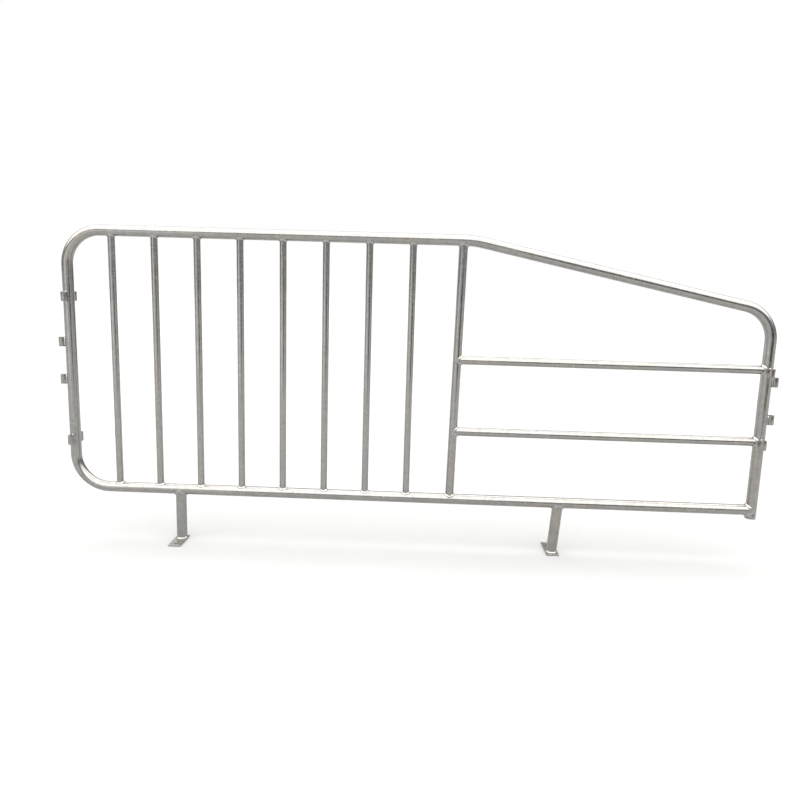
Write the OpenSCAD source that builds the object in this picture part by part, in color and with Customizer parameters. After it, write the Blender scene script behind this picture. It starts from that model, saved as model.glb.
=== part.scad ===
// Side panel of a sow stall: a bent pipe frame with upright bars at the head end,
// two side rails under a sloping top at the tail end, two welded legs with anchor
// plates, and short welded sleeves for the drop pins of the neighbouring gates.
// X runs along the panel from head (-X) to tail (+X), Y is through it, Z is up.
// The origin is on the floor, midway between the two end uprights.

/* [Frame pipe] */
// Distance between the axes of the head and tail uprights
frame_len = 2200; // [2200:50:2400]
// Height of the bottom rail's axis above the floor
rail_z = 170; // [150:10:190]
// Height of the top rail's axis above the bottom rail's
panel_h = 824; // [804:10:844]
// Distance from the tail upright back to where the top rail starts to slope
slope_run = 930; // [910:20:930]
// Height that the top rail loses over that distance
slope_drop = 192; // [184:4:196]
// Outside diameter of the frame and leg pipe
frame_d = 33.7; // [30, 32, 33.7, 36]
// Wall of the frame and leg pipe
frame_wall = 3.2; // [2.6, 3.2, 4]
// Centreline radius of the three corner bends
bend_r = 108; // [90:6:120]
// Centreline radius of the shallow bend where the slope starts
crown_r = 350; // [300:50:350]
// Length of the tail upright below the bottom rail's axis
tail_stub = 27; // [22:5:37]
// Diameter of the vent hole for galvanising, low on the tail upright
vent_d = 6; // [4:1:8]

/* [Upright bars] */
// Number of upright bars
bar_count = 8; // [7:1:8]
// Distance from the head upright's axis to the first bar's
bar_first = 142.5; // [130:0.5:150]
// Distance from one bar's axis to the next
bar_pitch = 134.5; // [120:0.5:135]
// Outside diameter of the tube that bars and sleeves are cut from
bar_d = 21.3; // [17.2, 21.3, 26.9]
// Wall of that tube
bar_wall = 2.6; // [2, 2.3, 2.6, 3.2]

/* [Divider and side rails] */
// Distance from the head upright's axis to the foot of the divider's
divider_at = 1226; // [1206:10:1236]
// How far the divider leans towards the tail over its height
divider_lean = 12; // [0:4:20]
// Height of the lower side rail's axis above the bottom rail's
lower_rail_up = 225; // [180:5:280]
// Height of the upper side rail's axis above the bottom rail's
upper_rail_up = 455; // [400:5:470]
// Outside diameter of the divider and the side rails
rail_d = 26.9; // [21.3, 24, 26.9, 30]
// Wall of the divider and the side rails
rail_wall = 2.6; // [2, 2.6, 3.2]

/* [Legs] */
// Distance from the panel's middle to the head leg
head_leg_at = 756; // [650:2:850]
// Distance from the panel's middle to the tail leg
tail_leg_at = 480; // [400:2:600]
// Lean of the tail leg in degrees: its foot stands nearer the head end
tail_leg_lean = 4; // [0:1:8]
// Width of a foot plate
plate_w = 40; // [38:1:60]
// Thickness of a foot plate
plate_t = 5; // [4:0.5:8]
// Reach of each foot plate from the leg's axis past its anchor hole
plate_toe = 77; // [60:1:110]
// Reach of the head foot plate from the leg's axis the other way
head_plate_heel = 18; // [18:1:40]
// Reach of the tail foot plate from the leg's axis the other way
tail_plate_heel = 31; // [18:1:40]
// Diameter of the anchor hole
anchor_d = 12; // [10:0.5:14]
// Distance from the anchor hole's axis to the plate's end
anchor_edge = 16; // [12:1:20]

/* [Pin sleeves] */
// Length of a sleeve
sleeve_h = 30; // [20:1:40]
// Height of the head upright's lower pair above the bottom rail's axis
head_pair_low = 160; // [145:1:200]
// Height of the head upright's upper pair
head_pair_high = 618; // [560:1:620]
// Height of the head upright's lower outward sleeve
head_out_low = 354; // [300:1:380]
// Height of the head upright's upper outward sleeve
head_out_high = 474; // [430:1:520]
// Height of the tail upright's lower near-side sleeve
tail_near_low = 220; // [180:1:240]
// Height of the tail upright's upper near-side sleeve
tail_near_high = 446; // [420:1:465]
// Height of the tail upright's lower outward sleeve
tail_out_low = 297; // [260:1:330]
// Height of the tail upright's upper outward sleeve
tail_out_high = 417; // [380:1:450]

/* [Hidden] */
$fn = 96;
// Root gap left between a coped pipe end and the pipe it is welded to
root_gap = 0.2;
// Length and height of the collars at the ends of the sloping top's bends
seam_len = 1;
seam_proud = 0.05;
head_x = -frame_len / 2;
tail_x = frame_len / 2;
top_z = rail_z + panel_h;
crown_x = tail_x - slope_run;
divider_x = head_x + divider_at;
divider_tilt = atan(divider_lean / panel_h);
// The legs from the head end: name, place, lean, the plate's heel and the turn of its toe
LEG_NAME = 0;
LEG_X = 1;
LEG_LEAN = 2;
LEG_HEEL = 3;
LEG_TURN = 4;
legs = [
    ["head", -head_leg_at, 0, head_plate_heel, -90],
    ["tail", tail_leg_at, tail_leg_lean, tail_plate_heel, 90],
];
// Corners of the frame pipe's centreline in X and Z, from the tail upright's foot
// up, over the top, down the head end and back along the bottom
corners = [
    [tail_x, rail_z - tail_stub],
    [tail_x, top_z - slope_drop],
    [crown_x, top_z],
    [head_x, top_z],
    [head_x, rail_z],
    [tail_x, rail_z],
];
// Bend radius at each corner; the two ends have none
radii = [0, bend_r, crown_r, bend_r, bend_r, 0];
TAIL_UPRIGHT = 0;
TOP_RAIL = 2;
HEAD_UPRIGHT = 3;
BOTTOM_RAIL = 4;
TAIL_BEND = 1;
CROWN_BEND = 2;
// Each sleeve's name, upright, height and the direction that it is welded on
SLEEVE_NAME = 0;
SLEEVE_X = 1;
SLEEVE_UP = 2;
SLEEVE_SIDE = 3;
NEAR = -90;
FAR = 90;
TO_HEAD = 180;
TO_TAIL = 0;
sleeves = [
    ["head_high_sleeve_near", head_x, head_pair_high, NEAR],
    ["head_high_sleeve_far", head_x, head_pair_high, FAR],
    ["head_low_sleeve_near", head_x, head_pair_low, NEAR],
    ["head_low_sleeve_far", head_x, head_pair_low, FAR],
    ["head_outer_sleeve_upper", head_x, head_out_high, TO_HEAD],
    ["head_outer_sleeve_lower", head_x, head_out_low, TO_HEAD],
    ["tail_high_sleeve_near", tail_x, tail_near_high, NEAR],
    ["tail_low_sleeve_near", tail_x, tail_near_low, NEAR],
    ["tail_outer_sleeve_upper", tail_x, tail_out_high, TO_TAIL],
    ["tail_outer_sleeve_lower", tail_x, tail_out_low, TO_TAIL],
];

// Direction of the frame pipe's straight i, in degrees from +X towards +Z
function heading(i) = let (d = corners[i + 1] - corners[i]) (atan2(d[1], d[0]) + 360) % 360;
// Angle that the pipe turns through at corner i
function turn(i) = (heading(i) - heading(i - 1) + 360) % 360;
// Length of straight that the bend at corner i takes up on each side of it
function setback(i) = radii[i] == 0 ? 0 : radii[i] * tan(turn(i) / 2);
function unit(a) = [cos(a), sin(a)];

// Straight i of the frame pipe's centreline as a rod of diameter d
module straight(i, d) {
    start = corners[i] + setback(i) * unit(heading(i));
    length = norm(corners[i + 1] - corners[i]) - setback(i) - setback(i + 1);
    translate([start[0], 0, start[1]])
        rotate([0, 90 - heading(i), 0])
            cylinder(h = length, d = d);
}

// Bend at corner i of the frame pipe's centreline as a rod of diameter d
module bend(i, d) {
    a = heading(i - 1);
    centre = corners[i] - setback(i) * unit(a) + radii[i] * unit(a + 90);
    translate([centre[0], 0, centre[1]])
        rotate([90, 0, 0])
            rotate([0, 0, a - 90])
                rotate_extrude(angle = turn(i))
                    translate([radii[i], 0])
                        circle(d = d);
}

// Collar at each end of the bend at corner i: it fuses the bend with its neighbours
module seams(i, d) {
    for (side = [-1, 1]) {
        along = side < 0 ? heading(i - 1) + 180 : heading(i);
        at = corners[i] + setback(i) * unit(along);
        translate([at[0], 0, at[1]])
            rotate([0, 90 - along, 0])
                cylinder(h = seam_len, d = d + 2 * seam_proud, center = true);
    }
}

// The bent run of the frame pipe, without the bottom rail, as a rod of diameter d
module bent_run(d) {
    for (i = [TAIL_UPRIGHT:HEAD_UPRIGHT])
        union() {
            straight(i, d);
            bend(i + 1, d);
        }
    for (i = [TAIL_BEND:CROWN_BEND])
        seams(i, d);
}

// One length of pipe, bent at four corners, its last end coped and welded to the tail upright
module frame_pipe() {
    bore = frame_d - 2 * frame_wall;
    color("silver")
        difference() {
            union() {
                bent_run(frame_d);
                difference() {
                    straight(BOTTOM_RAIL, frame_d);
                    straight(TAIL_UPRIGHT, frame_d + 2 * root_gap);
                }
            }
            bent_run(bore);
            difference() {
                straight(BOTTOM_RAIL, bore);
                straight(TAIL_UPRIGHT, frame_d);
            }
            // The tail upright's bore is open at its foot
            translate([tail_x, 0, rail_z - tail_stub - 1])
                cylinder(h = 2, d = bore);
            // Vent hole in the near wall of the upright's foot
            translate([tail_x, 0, rail_z - tail_stub / 2])
                rotate([90, 0, 0])
                    cylinder(h = frame_d, d = vent_d);
        }
}

// Pipe standing on the bottom rail's axis at x, leaning by tilt, coped to both rails
module post(x, d, wall, tilt) {
    length = panel_h / cos(tilt);
    difference() {
        translate([x, 0, rail_z])
            rotate([0, tilt, 0])
                difference() {
                    cylinder(h = length, d = d);
                    translate([0, 0, -1])
                        cylinder(h = length + 2, d = d - 2 * wall);
                }
        straight(BOTTOM_RAIL, frame_d + 2 * root_gap);
        straight(TOP_RAIL, frame_d + 2 * root_gap);
        bend(CROWN_BEND, frame_d + 2 * root_gap);
    }
}

module upright_bar(i) {
    color("lightgray")
        post(head_x + bar_first + (i - 1) * bar_pitch, bar_d, bar_wall, 0);
}

module divider_post() {
    color("gainsboro")
        post(divider_x, rail_d, rail_wall, divider_tilt);
}

// Side rail with its axis up above the bottom rail's, coped to the divider and the tail upright
module side_rail(up) {
    start_x = divider_x + up * tan(divider_tilt);
    color("lightgray")
        difference() {
            translate([start_x, 0, rail_z + up])
                rotate([0, 90, 0])
                    difference() {
                        cylinder(h = tail_x - start_x, d = rail_d);
                        translate([0, 0, -1])
                            cylinder(h = tail_x - start_x + 2, d = rail_d - 2 * rail_wall);
                    }
            translate([divider_x, 0, rail_z])
                rotate([0, divider_tilt, 0])
                    cylinder(h = panel_h, d = rail_d + 2 * root_gap);
            straight(TAIL_UPRIGHT, frame_d + 2 * root_gap);
        }
}

module lower_side_rail() {
    side_rail(lower_rail_up);
}

module upper_side_rail() {
    side_rail(upper_rail_up);
}

// X of the axis of a leg where it stands on the floor
function foot_x(leg) = leg[LEG_X] - rail_z * tan(leg[LEG_LEAN]);

// Leg pipe, coped to the bottom rail and cut flat where it stands on its foot plate
module stand(leg) {
    length = (rail_z + frame_d) / cos(leg[LEG_LEAN]);
    color("silver")
        difference() {
            translate([leg[LEG_X], 0, rail_z])
                rotate([0, 180 + leg[LEG_LEAN], 0])
                    difference() {
                        cylinder(h = length, d = frame_d);
                        translate([0, 0, -1])
                            cylinder(h = length + 2, d = frame_d - 2 * frame_wall);
                    }
            straight(BOTTOM_RAIL, frame_d + 2 * root_gap);
            translate([foot_x(leg) - frame_len / 2, -frame_len / 2, plate_t - frame_len])
                cube(frame_len);
        }
}

// Flat anchor plate under a leg, with one hole for a floor anchor
module foot_plate(leg) {
    color("silver")
        translate([foot_x(leg), 0, 0])
            rotate([0, 0, leg[LEG_TURN]])
                difference() {
                    translate([-leg[LEG_HEEL], -plate_w / 2, 0])
                        cube([leg[LEG_HEEL] + plate_toe, plate_w, plate_t]);
                    translate([plate_toe - anchor_edge, 0, -1])
                        cylinder(h = plate_t + 2, d = anchor_d);
                }
}

// Short length of bar tube welded upright against an end upright: a drop pin passes through it
module pin_sleeve(sleeve) {
    color("darkgray")
        translate([sleeve[SLEEVE_X], 0, rail_z + sleeve[SLEEVE_UP]])
            rotate([0, 0, sleeve[SLEEVE_SIDE]])
                translate([frame_d / 2 + root_gap + bar_d / 2, 0, 0])
                    difference() {
                        cylinder(h = sleeve_h, d = bar_d, center = true);
                        cylinder(h = sleeve_h + 2, d = bar_d - 2 * bar_wall, center = true);
                    }
}

frame_pipe();
for (i = [1:bar_count])
    upright_bar(i);
divider_post();
lower_side_rail();
upper_side_rail();
for (leg = legs)
    stand(leg);
for (leg = legs)
    foot_plate(leg);
for (sleeve = sleeves)
    pin_sleeve(sleeve);
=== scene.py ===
"""Looks of the sow stall side panel: fine pipes, pin sleeves, foot plates and weld beads
in hot-dip galvanised steel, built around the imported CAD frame. Metres, X along the panel
from the head end to the tail end, Y through it away from the camera, Z up."""

import math

import bmesh
import bpy
import numpy as np
from mathutils import Matrix, Vector


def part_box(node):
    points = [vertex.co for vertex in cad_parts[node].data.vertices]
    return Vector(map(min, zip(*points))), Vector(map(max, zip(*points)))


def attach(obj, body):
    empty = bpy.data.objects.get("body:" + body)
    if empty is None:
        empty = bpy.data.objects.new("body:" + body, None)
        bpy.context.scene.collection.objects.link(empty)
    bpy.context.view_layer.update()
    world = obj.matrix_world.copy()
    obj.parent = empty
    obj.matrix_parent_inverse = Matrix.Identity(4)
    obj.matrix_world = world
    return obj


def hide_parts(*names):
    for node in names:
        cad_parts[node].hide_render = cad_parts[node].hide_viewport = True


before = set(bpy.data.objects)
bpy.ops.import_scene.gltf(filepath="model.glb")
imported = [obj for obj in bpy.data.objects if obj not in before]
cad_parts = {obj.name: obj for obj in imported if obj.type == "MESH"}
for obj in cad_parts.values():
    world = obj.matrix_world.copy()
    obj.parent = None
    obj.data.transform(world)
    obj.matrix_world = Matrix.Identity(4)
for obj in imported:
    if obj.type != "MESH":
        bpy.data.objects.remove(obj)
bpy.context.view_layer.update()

MM = 0.001
X, Y, Z = np.eye(3)

# ---------------------------------------------------------------- dimensions, as in part.scad
HEAD_X, TAIL_X = -1.100, 1.100
BOTTOM_Z, TOP_Z = 0.170, 0.994
CROWN_X = 0.170
SLOPE_DROP = 0.192
BEND_R, CROWN_R = 0.108, 0.350
FOOT_Z = 0.143
# outer radius and bore radius of each tube
FRAME_R, FRAME_BORE = 33.7 / 2 * MM, 27.3 / 2 * MM
BAR_R, BAR_BORE = 21.3 / 2 * MM, 16.1 / 2 * MM
RAIL_R, RAIL_BORE = 26.9 / 2 * MM, 21.7 / 2 * MM
ROOT_GAP = 0.2 * MM
VENT_R = 3 * MM
BAR_COUNT = 8
DIVIDER_X = 0.126
DIVIDER_LEAN = 0.012
DIVIDER_TILT = math.atan(DIVIDER_LEAN / (TOP_Z - BOTTOM_Z))
TAIL_LEG_TILT = math.radians(4)
HEAD_LEG_X, TAIL_LEG_X = -0.756, 0.480
ANCHOR_R = 6 * MM
ANCHOR_EDGE = 16 * MM

# ---------------------------------------------------------------- camera
# place in metres, angles in radians, focal length in millimetres
CAMERA_AT = Vector((0.0084, -2.1419, 0.8447))
CAMERA_DOWN, CAMERA_YAW, CAMERA_ROLL = 0.163484, -0.0242535, 0.0297895
CAMERA_LENS = 30.59


def make_camera():
    camera = bpy.data.objects.new("camera", bpy.data.cameras.new("camera"))
    bpy.context.scene.collection.objects.link(camera)
    camera.data.sensor_width = 36
    camera.data.lens = CAMERA_LENS
    camera.data.clip_start = 0.05
    cos_yaw, sin_yaw = math.cos(CAMERA_YAW), math.sin(CAMERA_YAW)
    cos_down, sin_down = math.cos(CAMERA_DOWN), math.sin(CAMERA_DOWN)
    cos_roll, sin_roll = math.cos(CAMERA_ROLL), math.sin(CAMERA_ROLL)
    forward = Vector((sin_yaw * cos_down, cos_yaw * cos_down, -sin_down))
    level = Vector((cos_yaw, -sin_yaw, 0))
    upright = level.cross(forward)
    right = cos_roll * level + sin_roll * upright
    up = -sin_roll * level + cos_roll * upright
    rotation = Matrix((right, up, -forward)).transposed().to_4x4()
    camera.matrix_world = Matrix.Translation(CAMERA_AT) @ rotation
    bpy.context.scene.camera = camera


make_camera()


# ---------------------------------------------------------------- galvanised steel
class Graph:
    """Adds nodes to a node tree. An input's value is a number, a vector or another node's output."""

    def __init__(self, tree):
        self.nodes, self.links = tree.nodes, tree.links

    def feed(self, socket, value):
        if isinstance(value, bpy.types.NodeSocket):
            self.links.new(value, socket)
        else:
            socket.default_value = value

    def add(self, kind, **inputs):
        made = self.nodes.new("ShaderNode" + kind)
        for key, value in inputs.items():
            self.feed(made.inputs[key.replace("_", " ")], value)
        return made

    def math(self, operation, *values):
        made = self.nodes.new("ShaderNodeMath")
        made.operation = operation
        for socket, value in zip(made.inputs, values):
            self.feed(socket, value)
        return made.outputs["Value"]

    def noise(self, where, scale, detail=2.0, roughness=0.5):
        made = self.add("TexNoise", Vector=where, Scale=scale, Detail=detail, Roughness=roughness)
        return made.outputs["Fac"]

    def ramp(self, value, low, high, to_low, to_high):
        """The node that maps the range low to high onto to_low to to_high."""
        return self.add("MapRange", Value=value, From_Min=low, From_Max=high,
                        To_Min=to_low, To_Max=to_high)

    def span(self, value, low, high, to_low, to_high):
        return self.ramp(value, low, high, to_low, to_high).outputs["Result"]

    def bump(self, height, strength, distance, **under):
        made = self.add("Bump", Height=height, Strength=strength, Distance=distance, **under)
        return made.outputs["Normal"]


WARM_ZINC = (1.055, 1.005, 0.930)
COOL_ZINC = (1.020, 1.0, 0.970)
# texture scales, in features per metre
CLOUD_SCALE, STREAK_SCALE, GRAIN_SCALE = 9.0, 70.0, 700.0
PATCH_SCALE, PIMPLE_SCALE = 4.0, 55.0
# streaks are squeezed to a quarter of their scale along the grain, so they are long
STREAK_SQUEEZE = 0.75
# what the crystals, the clouds and the streaks each add to the shade
CRYSTAL_SHARE, CLOUD_SHARE, STREAK_SHARE = 0.30, 0.45, 0.25
SHADE_LOW, SHADE_HIGH = 0.30, 0.72
DARKEST, LIGHTEST = 0.90, 1.10
PATCH_LOW, PATCH_HIGH = 0.40, 0.60
BLOOM_LOW, BLOOM_HIGH, BLOOM_ROUGH = 0.54, 0.72, 0.10
CRYSTAL_ROUGH, GRAIN_ROUGH = 0.06, 0.03
PIMPLE_REACH = 0.14


def galvanised(name, tone, rough, spangle, seed, grain_axis=Z, relief=1.0):
    """Hot-dip zinc: spangle crystals, a cloudy patina with warm and cool patches, dull bloom,
    zinc runs along grain_axis, dross pimples and a fine grain."""
    material = bpy.data.materials.new(name)
    material.use_nodes = True
    graph = Graph(material.node_tree)
    shader = material.node_tree.nodes["Principled BSDF"]
    where = graph.add("TexCoord").outputs["Object"]
    at = graph.add("Mapping", Vector=where, Location=(seed, seed * 1.7, -seed)).outputs["Vector"]
    stretch = tuple(1 - STREAK_SQUEEZE * grain_axis)
    along = graph.add("Mapping", Vector=at, Scale=stretch).outputs["Vector"]

    crystals = graph.add("TexVoronoi", Vector=at, Scale=1 / spangle)
    crystal = graph.add("SeparateColor", Color=crystals.outputs["Color"]).outputs
    cloud = graph.noise(at, CLOUD_SCALE, detail=5.0, roughness=0.6)
    streak = graph.noise(along, STREAK_SCALE, detail=3.0, roughness=0.55)
    grain = graph.noise(at, GRAIN_SCALE, detail=3.0, roughness=0.6)
    patch = graph.noise(at, PATCH_SCALE)

    # colour: crystals, clouds and streaks between a darker and a lighter zinc, warm or cool by patch
    clouds = graph.math("MULTIPLY", cloud, CLOUD_SHARE)
    shade = graph.math("MULTIPLY_ADD", crystal["Red"], CRYSTAL_SHARE, clouds)
    shade = graph.math("MULTIPLY_ADD", streak, STREAK_SHARE, shade)
    value = graph.span(shade, SHADE_LOW, SHADE_HIGH, DARKEST * tone, LIGHTEST * tone)
    tinted = graph.add("CombineColor")
    for channel, cool_part, warm_part in zip(("Red", "Green", "Blue"), COOL_ZINC, WARM_ZINC):
        tint = graph.span(patch, PATCH_LOW, PATCH_HIGH, cool_part, warm_part)
        graph.feed(tinted.inputs[channel], graph.math("MULTIPLY", tint, value))
    graph.feed(shader.inputs["Base Color"], tinted.outputs["Color"])

    # roughness: each crystal has its own, and the dull bloom of old zinc lies in clouds
    bloom = graph.span(cloud, BLOOM_LOW, BLOOM_HIGH, 0.0, BLOOM_ROUGH)
    gloss = graph.span(crystal["Green"], 0.0, 1.0, rough - CRYSTAL_ROUGH, rough + CRYSTAL_ROUGH)
    gloss = graph.math("MULTIPLY_ADD", grain, GRAIN_ROUGH, gloss)
    graph.feed(shader.inputs["Roughness"], graph.math("ADD", gloss, bloom))

    # relief: crystal facets, runs, sparse dross pimples and grain
    pimples = graph.add("TexVoronoi", Vector=at, Scale=PIMPLE_SCALE).outputs["Distance"]
    pimple = graph.span(pimples, 0.0, PIMPLE_REACH, 1.0, 0.0)
    normal = graph.bump(crystal["Blue"], strength=0.07, distance=0.2 * MM)
    normal = graph.bump(streak, strength=0.10 * relief, distance=0.5 * MM, Normal=normal)
    normal = graph.bump(pimple, strength=0.22 * relief, distance=0.25 * MM, Normal=normal)
    normal = graph.bump(grain, strength=0.11, distance=0.1 * MM, Normal=normal)
    graph.feed(shader.inputs["Normal"], normal)
    shader.inputs["Metallic"].default_value = 1.0
    return material


# name, tone, roughness, size of a crystal, seed and grain axis
ZINC = {
    "frame_pipe": galvanised("zinc_frame", 0.295, 0.19, 12 * MM, 0.0, X),
    "bar_tube": galvanised("zinc_bar", 0.312, 0.18, 9 * MM, 3.1),
    "rail_tube": galvanised("zinc_rail", 0.300, 0.18, 10 * MM, 5.7, X),
    "leg_pipe": galvanised("zinc_leg", 0.292, 0.21, 12 * MM, 8.3),
    "foot_plate": galvanised("zinc_plate", 0.325, 0.25, 14 * MM, 11.9, Y),
    "pin_sleeve": galvanised("zinc_sleeve", 0.272, 0.21, 9 * MM, 14.2),
}
WELD_ZINC = galvanised("zinc_weld", 0.360, 0.20, 6 * MM, 17.5, relief=1.8)

# ---------------------------------------------------------------- mesh helpers
SIDES = 64
HOLE_SIDES = 40
TUBE_RINGS = 13
SHARP = math.radians(38)


def new_object(name, verts, faces):
    mesh = bpy.data.meshes.new(name)
    mesh.from_pydata([tuple(v) for v in verts], [], faces)
    mesh.update()
    made = bpy.data.objects.new(name, mesh)
    bpy.context.scene.collection.objects.link(made)
    return made


def face_outward(mesh):
    bm = bmesh.new()
    bm.from_mesh(mesh)
    bmesh.ops.recalc_face_normals(bm, faces=bm.faces)
    bm.to_mesh(mesh)
    bm.free()


def smooth(mesh):
    """Smooth faces, with sharp edges where the surface turns a corner."""
    mesh.shade_smooth()
    mesh.set_sharp_from_angle(angle=SHARP)


def add_piece(name, verts, faces, slot, material=None, node=None):
    """A closed mesh in the CAD's frame that rides on the panel."""
    piece = new_object(name, verts, faces)
    face_outward(piece.data)
    smooth(piece.data)
    piece.data.materials.append(material or ZINC[slot])
    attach(piece, "root")
    if node:
        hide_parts(node)
    return piece


def modify(piece, kind, **settings):
    """Adds a modifier to a piece and applies it."""
    modifier = piece.modifiers.new(kind, kind)
    for key, value in settings.items():
        setattr(modifier, key, value)
    with bpy.context.temp_override(object=piece, active_object=piece, selected_objects=[piece]):
        bpy.ops.object.modifier_apply(modifier=modifier.name)


def loft(rings, closed):
    """Quads between rings of equal count. closed joins the last ring to the first,
    else both get a cap."""
    count = len(rings[0])
    verts = np.concatenate(rings)
    faces = []
    for i in range(len(rings) if closed else len(rings) - 1):
        low, high = i * count, (i + 1) % len(rings) * count
        for j in range(count):
            k = (j + 1) % count
            faces.append((low + j, low + k, high + k, high + j))
    if not closed:
        faces.append(tuple(range(count))[::-1])
        last = (len(rings) - 1) * count
        faces.append(tuple(range(last, last + count)))
    return verts, faces


def unit(v):
    return v / np.linalg.norm(v)


def square_to(axis):
    """A direction at right angles to axis."""
    return unit(np.cross(axis, X if abs(axis[0]) < 0.9 else Z))


def circle(centre, axis, side, radius, count=SIDES):
    across = np.cross(axis, side)
    turns = np.arange(count) * 2 * math.pi / count
    return np.array([centre + radius * (math.cos(t) * side + math.sin(t) * across) for t in turns])


def drill(piece, centre, axis, radius, length):
    """Cuts a round hole with a boolean and removes the cutter."""
    side = square_to(axis)
    centre = np.array(centre, float)
    rings = [circle(centre + s * length / 2 * axis, axis, side, radius, HOLE_SIDES) for s in (-1, 1)]
    cutter = new_object("cutter", *loft(rings, closed=False))
    face_outward(cutter.data)
    modify(piece, "BOOLEAN", operation="DIFFERENCE", solver="EXACT", object=cutter)
    bpy.data.objects.remove(cutter)
    smooth(piece.data)


# ---------------------------------------------------------------- surfaces for copes and welds
class Cylinder:
    """A pipe's surface."""

    def __init__(self, point, axis, radius):
        self.point, self.axis = np.array(point, float), unit(np.array(axis, float))
        self.radius = radius

    def out(self, p):
        d = p - self.point
        return unit(d - d.dot(self.axis) * self.axis)

    def put(self, p, lift=0.0):
        """p moved straight out or in to the surface, or lift above it."""
        along = (p - self.point).dot(self.axis)
        return self.point + along * self.axis + (self.radius + lift) * self.out(p)

    def hit(self, p, d, lift=0.0, nearest=True):
        """How far p travels along d until it meets the surface, or lift above it."""
        w = p - self.point
        w = w - w.dot(self.axis) * self.axis
        v = d - d.dot(self.axis) * self.axis
        a, b, c = v.dot(v), w.dot(v), w.dot(w) - (self.radius + lift) ** 2
        root = math.sqrt(max(b * b - a * c, 0))
        return (-b - root) / a if nearest else (-b + root) / a


class Plane:
    """A flat surface. Points put on it stay between the corners low and high, if it has them."""

    def __init__(self, point, normal, low=None, high=None):
        self.point, self.normal = np.array(point, float), unit(np.array(normal, float))
        self.low, self.high = low, high

    def out(self, p):
        return self.normal

    def put(self, p, lift=0.0):
        q = p - (p - self.point).dot(self.normal) * self.normal
        if self.low is not None:
            q = np.minimum(np.maximum(q, self.low), self.high)
        return q + lift * self.normal

    def hit(self, p, d, lift=0.0, nearest=True):
        return (self.point + lift * self.normal - p).dot(self.normal) / d.dot(self.normal)


BOTTOM_RAIL = Cylinder((0, 0, BOTTOM_Z), X, FRAME_R)
TOP_RAIL = Cylinder((0, 0, TOP_Z), X, FRAME_R)
TAIL_UPRIGHT = Cylinder((TAIL_X, 0, 0), Z, FRAME_R)
DIVIDER_AXIS = (math.sin(DIVIDER_TILT), 0, math.cos(DIVIDER_TILT))
DIVIDER = Cylinder((DIVIDER_X, 0, BOTTOM_Z), DIVIDER_AXIS, RAIL_R)


def straight_tube(start, axis, outer, bore, begin, end, end_lift=ROOT_GAP):
    """A tube from the surface begin to the surface end, its ends cut to them."""
    axis = unit(np.array(axis, float))
    side = square_to(axis)
    rings = []
    for radius, order in ((outer, 1), (bore, -1)):
        ring = circle(np.array(start, float), axis, side, radius)
        low = [begin.hit(p, axis, ROOT_GAP, False) for p in ring]
        high = [end.hit(p, axis, end_lift, True) for p in ring]
        for s in np.linspace(0, 1, TUBE_RINGS)[::order]:
            rings.append(np.array([p + (a + (b - a) * s) * axis for p, a, b in zip(ring, low, high)]))
    return loft(rings, closed=True)


# ---------------------------------------------------------------- frame pipe
CORNERS = [
    (TAIL_X, FOOT_Z), (TAIL_X, TOP_Z - SLOPE_DROP), (CROWN_X, TOP_Z),
    (HEAD_X, TOP_Z), (HEAD_X, BOTTOM_Z), (TAIL_X, BOTTOM_Z),
]
CORNER_R = [0, BEND_R, CROWN_R, BEND_R, BEND_R, 0]
BEND_STEP = math.radians(2.5)
STRAIGHT_STEP = 0.05
# how much thinner across the bend, and wider through it, a bent pipe gets
OVAL_THIN, OVAL_WIDE = 0.022, 0.008


def heading(i):
    """Direction of straight i of the centreline, in radians from +X towards +Z."""
    (x0, z0), (x1, z1) = CORNERS[i], CORNERS[i + 1]
    return math.atan2(z1 - z0, x1 - x0) % (2 * math.pi)


def turn(i):
    """Angle that the pipe turns through at corner i."""
    return (heading(i) - heading(i - 1)) % (2 * math.pi)


def setback(i):
    """Length of straight that the bend at corner i takes up on each side of it."""
    return CORNER_R[i] * math.tan(turn(i) / 2) if CORNER_R[i] else 0


def frame_path():
    """Centreline points of the frame pipe as (x, z, heading, how far into a bend from 0 to 1)."""
    points = []
    for i in range(len(CORNERS) - 1):
        (x0, z0), (x1, z1) = CORNERS[i], CORNERS[i + 1]
        first, last = setback(i), math.hypot(x1 - x0, z1 - z0) - setback(i + 1)
        ahead = heading(i)
        count = max(2, round((last - first) / STRAIGHT_STEP))
        for t in np.linspace(first, last, count):
            points.append((x0 + t * math.cos(ahead), z0 + t * math.sin(ahead), ahead, 0))
        radius = CORNER_R[i + 1]
        if radius:
            x, z = points[-1][:2]
            centre_x, centre_z = x - radius * math.sin(ahead), z + radius * math.cos(ahead)
            steps = math.ceil(turn(i + 1) / BEND_STEP)
            for k in range(1, steps):
                a = ahead + turn(i + 1) * k / steps
                x, z = centre_x + radius * math.sin(a), centre_z - radius * math.cos(a)
                points.append((x, z, a, math.sin(math.pi * k / steps)))
    return points


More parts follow.
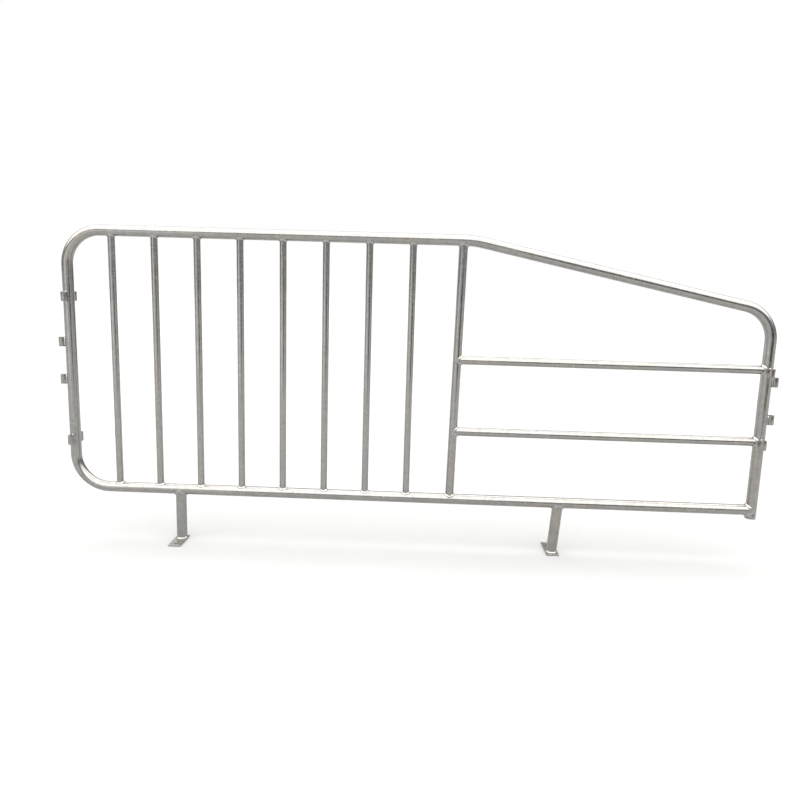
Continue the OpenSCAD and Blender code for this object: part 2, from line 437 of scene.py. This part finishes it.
def frame_pipe():
    """One bent pipe. Its bends are a touch oval, as bent pipe is."""
    path = frame_path()
    turns = np.arange(SIDES) * 2 * math.pi / SIDES
    rings = []
    for radius, order in ((FRAME_R, 1), (FRAME_BORE, -1)):
        run = []
        for x, z, ahead, bend in path:
            centre = np.array((x, 0, z))
            inward = np.array((-math.sin(ahead), 0, math.cos(ahead)))
            thin, wide = radius * (1 - OVAL_THIN * bend), radius * (1 + OVAL_WIDE * bend)
            run.append(np.array([
                centre + thin * math.cos(t) * inward + wide * math.sin(t) * Y for t in turns
            ]))
        run[-1] = np.array([p + TAIL_UPRIGHT.hit(p, X, ROOT_GAP) * X for p in run[-1]])
        rings += run[::order]
    verts, faces = loft(rings, closed=True)
    pipe = add_piece("frame_pipe_fine", verts, faces, "frame_pipe", node="frame_pipe")
    drill(pipe, (TAIL_X, -FRAME_R, (FOOT_Z + BOTTOM_Z) / 2), Y, VENT_R, FRAME_R)


frame_pipe()

# ---------------------------------------------------------------- weld beads
BEAD_PITCH = 2.2 * MM
BEAD_STEP = BEAD_PITCH / 4
BEAD_SINK = 0.9 * MM
ROOT_SINK = 1.3 * BEAD_SINK
TOE_LIFT = 0.02 * MM
FACE_POINTS = 7
CROWN = 0.30
# the bead's size wanders in two waves: how far, and how many times along the bead
WANDER = ((0.07, 2), (0.05, 5))
# the second toe wanders by itself
TOE_WANDER, TOE_RATE = 0.05, 9
# an open bead tapers to its ends over this many of its sizes, to the root of this share
TAPER, TAPER_LEAST = 1.2, 0.10
# ripples: height, how sharp they are, and how far they curve back at the toes
RIPPLE, RIPPLE_POWER, RIPPLE_CURVE = 0.075, 1.6, 0.55
# leg length of the fillet at each kind of joint
BAR_BEAD, RAIL_BEAD, RAIL_TAIL_BEAD, FRAME_END_BEAD = 3.4 * MM, 3.8 * MM, 4.6 * MM, 4.8 * MM
LEG_TOP_BEAD, LEG_FOOT_BEAD = 4.4 * MM, 3.6 * MM
SLEEVE_TOP_BEAD, SLEEVE_SIDE_BEAD = 2.8 * MM, 4.0 * MM
FRAME_END_SEED = 5


def weld(name, corner, first, second, bead, seed, loop=True, slot="frame_pipe"):
    """A fillet bead along the line corner, where the surfaces first and second meet.
    Its face is rippled like laid weld metal; its back is sunk into both pieces."""
    corner = np.array(corner, float)
    if loop:
        tangents = np.roll(corner, -1, 0) - np.roll(corner, 1, 0)
    else:
        tangents = np.gradient(corner, axis=0)
    tangents = np.array([unit(t) for t in tangents])
    steps = np.linalg.norm(np.diff(corner, axis=0, append=corner[:1]), axis=1)
    run = np.concatenate(([0], np.cumsum(steps)[:-1]))
    total = steps.sum() if loop else steps[:-1].sum()
    ripples = max(1, round(total / BEAD_PITCH))
    outs = [(first.out(c), second.out(c)) for c in corner]
    lean = [np.cross(n1, t).dot(n2) for (n1, n2), t in zip(outs, tangents)]
    sign = math.copysign(1, lean[int(np.argmax(np.abs(lean)))])
    rng = np.random.default_rng(seed)
    phases = rng.uniform(0, 2 * math.pi, 3)
    rings = []
    for c, t, (n1, n2), along in zip(corner, tangents, outs, run):
        a, b = sign * np.cross(n1, t), sign * np.cross(t, n2)
        s = along / total
        size = bead * (1 + sum(
            share * math.sin(2 * math.pi * waves * s + phase)
            for (share, waves), phase in zip(WANDER, phases)
        ))
        if not loop:
            to_end = min(along, total - along) / (TAPER * bead)
            size *= math.sqrt(max(TAPER_LEAST, min(1, to_end)))
        second_size = size * (1 + TOE_WANDER * math.sin(phases[2] + TOE_RATE * s))
        toe1 = first.put(c + size * a, TOE_LIFT)
        toe2 = second.put(c + second_size * b, TOE_LIFT)
        out = unit(n1 + n2)
        control = (toe1 + toe2) / 2 + CROWN * size * out
        ring = []
        for k in range(FACE_POINTS + 1):
            u = k / FACE_POINTS
            p = (1 - u) ** 2 * toe1 + 2 * u * (1 - u) * control + u * u * toe2
            crescent = s * ripples + RIPPLE_CURVE * (2 * u - 1) ** 2
            tooth = abs(2 * (crescent % 1) - 1)
            rise = RIPPLE * size * (0.5 - tooth ** RIPPLE_POWER)
            ring.append(p + rise * math.sin(math.pi * u) * out)
        ring.append(second.put(toe2, -BEAD_SINK))
        ring.append(c - ROOT_SINK * out)
        ring.append(first.put(toe1, -BEAD_SINK))
        rings.append(np.array(ring))
    verts, faces = loft(rings, closed=loop)
    add_piece(name, verts, faces, slot, WELD_ZINC)


def seam(start, axis, radius, onto, nearest):
    """The line where a pipe with that axis and radius meets the surface onto, with enough
    points for the ripples of its weld."""
    axis = unit(np.array(axis, float))
    count = round(2 * math.pi * radius / BEAD_STEP)
    ring = circle(np.array(start, float), axis, square_to(axis), radius, count)
    return [p + onto.hit(p, axis, nearest=nearest) * axis for p in ring]


def weld_seed(text):
    """A number for a name, the same each run."""
    return sum((i + 1) * ord(letter) for i, letter in enumerate(text))


# ---------------------------------------------------------------- bars, divider and side rails
def post(node, x, outer, bore, tilt, slot, bead):
    """A tube between the bottom rail and the top rail, welded to both."""
    axis = np.array((math.sin(tilt), 0, math.cos(tilt)))
    foot = np.array((x, 0, BOTTOM_Z))
    verts, faces = straight_tube(foot, axis, outer, bore, BOTTOM_RAIL, TOP_RAIL)
    add_piece(node + "_fine", verts, faces, slot, node=node)
    skin = Cylinder(foot, axis, outer)
    for end, rail, nearest in (("foot", BOTTOM_RAIL, False), ("top", TOP_RAIL, True)):
        line = seam(foot, axis, outer, rail, nearest)
        weld(f"weld_{node}_{end}", line, skin, rail, bead, weld_seed(node + end))


def middle(node):
    low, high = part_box(node)
    return (low + high) / 2


for i in range(1, BAR_COUNT + 1):
    bar = f"upright_bar_{i}"
    post(bar, middle(bar).x, BAR_R, BAR_BORE, 0, "bar_tube", BAR_BEAD)
post("divider_post", DIVIDER_X, RAIL_R, RAIL_BORE, DIVIDER_TILT, "rail_tube", RAIL_BEAD)


def side_rail(node):
    """A tube between the divider and the tail upright, welded to both."""
    start = np.array((DIVIDER_X, 0, middle(node).z))
    verts, faces = straight_tube(start, X, RAIL_R, RAIL_BORE, DIVIDER, TAIL_UPRIGHT)
    add_piece(node + "_fine", verts, faces, "rail_tube", node=node)
    skin = Cylinder(start, X, RAIL_R)
    ends = (("front", DIVIDER, False, RAIL_BEAD), ("back", TAIL_UPRIGHT, True, RAIL_TAIL_BEAD))
    for end, onto, nearest, bead in ends:
        line = seam(start, X, RAIL_R, onto, nearest)
        weld(f"weld_{node}_{end}", line, skin, onto, bead, weld_seed(node + end))


side_rail("lower_side_rail")
side_rail("upper_side_rail")


def weld_frame_end():
    """The bottom rail's end welded to the tail upright."""
    line = seam((0, 0, BOTTOM_Z), X, FRAME_R, TAIL_UPRIGHT, True)
    weld("weld_frame_end", line, BOTTOM_RAIL, TAIL_UPRIGHT, FRAME_END_BEAD, FRAME_END_SEED)


weld_frame_end()


# ---------------------------------------------------------------- legs and foot plates
PLATE_RIM = 0.2 * MM
PLATE_BEVEL = 0.7 * MM
PLATE_BEVEL_STEPS = 3
PLATE_BEVEL_ANGLE = math.radians(40)


def leg(node, plate_node, x, tilt, toe_side):
    """A leg under the bottom rail, welded to it and to its foot plate."""
    axis = np.array((-math.sin(tilt), 0, -math.cos(tilt)))
    start = np.array((x, 0, BOTTOM_Z))
    low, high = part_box(plate_node)
    rim = np.array((PLATE_RIM, PLATE_RIM, 0))
    corner_low = np.array((low.x, low.y, high.z)) + rim
    corner_high = np.array(high) - rim
    plate = Plane((0, 0, high.z), Z, corner_low, corner_high)
    verts, faces = straight_tube(start, axis, FRAME_R, FRAME_BORE, BOTTOM_RAIL, plate, end_lift=0)
    add_piece(node + "_fine", verts, faces, "leg_pipe", node=node)
    skin = Cylinder(start, axis, FRAME_R)
    ends = (("top", BOTTOM_RAIL, False, LEG_TOP_BEAD), ("foot", plate, True, LEG_FOOT_BEAD))
    for end, onto, nearest, bead in ends:
        line = seam(start, axis, FRAME_R, onto, nearest)
        weld(f"weld_{node}_{end}", line, skin, onto, bead, weld_seed(node + end), slot="leg_pipe")
    foot_plate(plate_node, toe_side)


def foot_plate(node, toe_side):
    """Sheared flat bar with softened edges and a drilled anchor hole."""
    low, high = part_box(node)
    outline = ((low.x, low.y), (high.x, low.y), (high.x, high.y), (low.x, high.y))
    verts = [(x, y, z) for z in (low.z, high.z) for x, y in outline]
    faces = [(3, 2, 1, 0), (4, 5, 6, 7), (0, 1, 5, 4), (1, 2, 6, 5), (2, 3, 7, 6), (3, 0, 4, 7)]
    plate = add_piece(node + "_fine", verts, faces, "foot_plate", node=node)
    hole_y = low.y + ANCHOR_EDGE if toe_side < 0 else high.y - ANCHOR_EDGE
    thickness = high.z - low.z
    hole_at = ((low.x + high.x) / 2, hole_y, (low.z + high.z) / 2)
    drill(plate, hole_at, Z, ANCHOR_R, 3 * thickness)
    modify(plate, "BEVEL", width=PLATE_BEVEL, segments=PLATE_BEVEL_STEPS, limit_method="ANGLE",
           angle_limit=PLATE_BEVEL_ANGLE)
    # no edge is left sharp: the flats keep their own normals and the bevels blend between them
    plate.data.set_sharp_from_angle(angle=math.pi)
    modify(plate, "WEIGHTED_NORMAL", mode="FACE_AREA", weight=100)


leg("head_leg", "head_foot_plate", HEAD_LEG_X, 0, -1)
leg("tail_leg", "tail_foot_plate", TAIL_LEG_X, TAIL_LEG_TILT, 1)

# ---------------------------------------------------------------- pin sleeves
SLEEVE_EDGE = 0.6 * MM
EDGE_STEPS = 4
# half the distance between the two beads that hold a sleeve
SLEEVE_GROOVE = 4.6 * MM
# how far those beads stop short of the sleeve's foot and of its top
GROOVE_FOOT_GAP, GROOVE_TOP_GAP = 1.5 * MM, 0.3 * MM


def sleeve_profile(low, high):
    """Radius and height round a sleeve's wall, its four sawn edges rounded off."""
    edges = ((BAR_R, high, 0), (BAR_BORE, high, 90), (BAR_BORE, low, 180), (BAR_R, low, 270))
    profile = []
    for radius, height, first in edges:
        to_wall = 1 if radius == BAR_BORE else -1
        to_middle = 1 if height == low else -1
        for k in range(EDGE_STEPS + 1):
            a = math.radians(first + 90 * k / EDGE_STEPS)
            profile.append((radius + SLEEVE_EDGE * (to_wall + math.cos(a)),
                            height + SLEEVE_EDGE * (to_middle + math.sin(a))))
    return profile


def pin_sleeve(node, x, direction):
    """Short tube stood against an upright, with beads of weld down both grooves and across the top."""
    low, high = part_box(node)
    axis_at = middle(node)
    profile = sleeve_profile(low.z, high.z)
    rings = [circle(np.array((axis_at.x, axis_at.y, z)), Z, X, radius) for radius, z in profile]
    verts, faces = loft(rings, closed=True)
    add_piece(node + "_fine", verts, faces, "pin_sleeve", node=node)
    out = np.array((math.cos(direction), math.sin(direction), 0)).round(6)
    side = np.cross(Z, out)
    upright = Cylinder((x, 0, 0), Z, FRAME_R)
    skin = Cylinder((axis_at.x, axis_at.y, 0), Z, BAR_R)
    rim = Plane((0, 0, high.z), Z)
    top = np.array((x, 0, high.z))
    spread = np.arange(-SLEEVE_GROOVE, SLEEVE_GROOVE, BEAD_STEP) / FRAME_R
    line = [top + FRAME_R * (math.cos(a) * out + math.sin(a) * side) for a in spread]
    weld(f"weld_{node}_top", line, rim, upright, SLEEVE_TOP_BEAD, weld_seed(node + "top"),
         loop=False, slot="pin_sleeve")
    heights = np.arange(low.z + GROOVE_FOOT_GAP, high.z - GROOVE_TOP_GAP, BEAD_STEP)
    for name, flank in (("left", -1), ("right", 1)):
        groove = np.array((x, 0, 0)) + (FRAME_R + ROOT_GAP) * out + flank * SLEEVE_GROOVE * side
        line = [groove + h * Z for h in heights]
        weld(f"weld_{node}_{name}", line, skin, upright, SLEEVE_SIDE_BEAD, weld_seed(node + name),
             loop=False, slot="pin_sleeve")


SLEEVES = [
    ("head_high_sleeve_near", HEAD_X, -90), ("head_high_sleeve_far", HEAD_X, 90),
    ("head_low_sleeve_near", HEAD_X, -90), ("head_low_sleeve_far", HEAD_X, 90),
    ("head_outer_sleeve_upper", HEAD_X, 180), ("head_outer_sleeve_lower", HEAD_X, 180),
    ("tail_high_sleeve_near", TAIL_X, -90), ("tail_low_sleeve_near", TAIL_X, -90),
    ("tail_outer_sleeve_upper", TAIL_X, 0), ("tail_outer_sleeve_lower", TAIL_X, 0),
]
for node, x, degrees in SLEEVES:
    pin_sleeve(node, x, math.radians(degrees))


# ---------------------------------------------------------------- floor, cards and studio light
FLOOR_HALF = 60
FLOOR_GREY = (0.370, 0.370, 0.367, 1)
SKY, HORIZON = 3.6, 0.52
SKY_FROM, SKY_FULL = 0.26, 0.38
SKY_LEAN = 0.45
CARD_Y = 3.2
DARK_SPAN, LIGHT_SPAN = (0.7, 4.0), (-4.0, -1.6)
DARK_TOP, LIGHT_TOP = 0.92, 1.35
DARK_CARD, LIGHT_CARD = 0.16, 1.6


def stage_sheet(name, corners):
    """A flat sheet outside the object, and its shader."""
    sheet = new_object(name, corners, [(0, 1, 2, 3)])
    material = bpy.data.materials.new(name)
    material.use_nodes = True
    sheet.data.materials.append(material)
    return sheet, material.node_tree.nodes["Principled BSDF"]


def make_floor():
    h = FLOOR_HALF
    _, shader = stage_sheet("floor", [(-h, -h, 0), (h, -h, 0), (h, h, 0), (-h, h, 0)])
    shader.inputs["Base Color"].default_value = FLOOR_GREY
    shader.inputs["Roughness"].default_value = 0.9
    shader.inputs["Specular IOR Level"].default_value = 0.1


def make_card(name, span, y, top, radiance):
    """A studio card that shows only as a reflection in the metal."""
    x0, x1 = span
    card, shader = stage_sheet(name, [(x0, y, 0), (x1, y, 0), (x1, y, top), (x0, y, top)])
    shader.inputs["Base Color"].default_value = (0, 0, 0, 1)
    shader.inputs["Specular IOR Level"].default_value = 0
    shader.inputs["Emission Color"].default_value = (1, 1, 1, 1)
    shader.inputs["Emission Strength"].default_value = radiance
    card.visible_camera = False
    card.visible_diffuse = False
    card.visible_transmission = False
    card.visible_shadow = False


def make_world():
    """A bright ceiling that leans to the front over a dim horizon; plain white behind the object."""
    world = bpy.data.worlds.new("studio")
    bpy.context.scene.world = world
    world.use_nodes = True
    graph = Graph(world.node_tree)
    direction = graph.add("TexCoord").outputs["Generated"]
    parts = graph.add("SeparateXYZ", Vector=direction).outputs
    backward = graph.math("MAXIMUM", parts["Y"], 0.0)
    height = graph.math("MULTIPLY_ADD", backward, -SKY_LEAN, parts["Z"])
    ramp = graph.ramp(height, SKY_FROM, SKY_FULL, HORIZON, SKY)
    ramp.interpolation_type = "SMOOTHSTEP"
    sky = ramp.outputs["Result"]
    seen = graph.add("LightPath").outputs["Is Camera Ray"]
    to_white = graph.math("SUBTRACT", 1.0, sky)
    background = world.node_tree.nodes["Background"]
    background.inputs["Color"].default_value = (1, 1, 1, 1)
    graph.feed(background.inputs["Strength"], graph.math("MULTIPLY_ADD", seen, to_white, sky))


make_floor()
make_world()
for side, y in (("front", -CARD_Y), ("back", CARD_Y)):
    make_card("dark_card_" + side, DARK_SPAN, y, DARK_TOP, DARK_CARD)
    make_card("light_card_" + side, LIGHT_SPAN, y, LIGHT_TOP, LIGHT_CARD)
bpy.context.scene.view_settings.view_transform = "Standard"
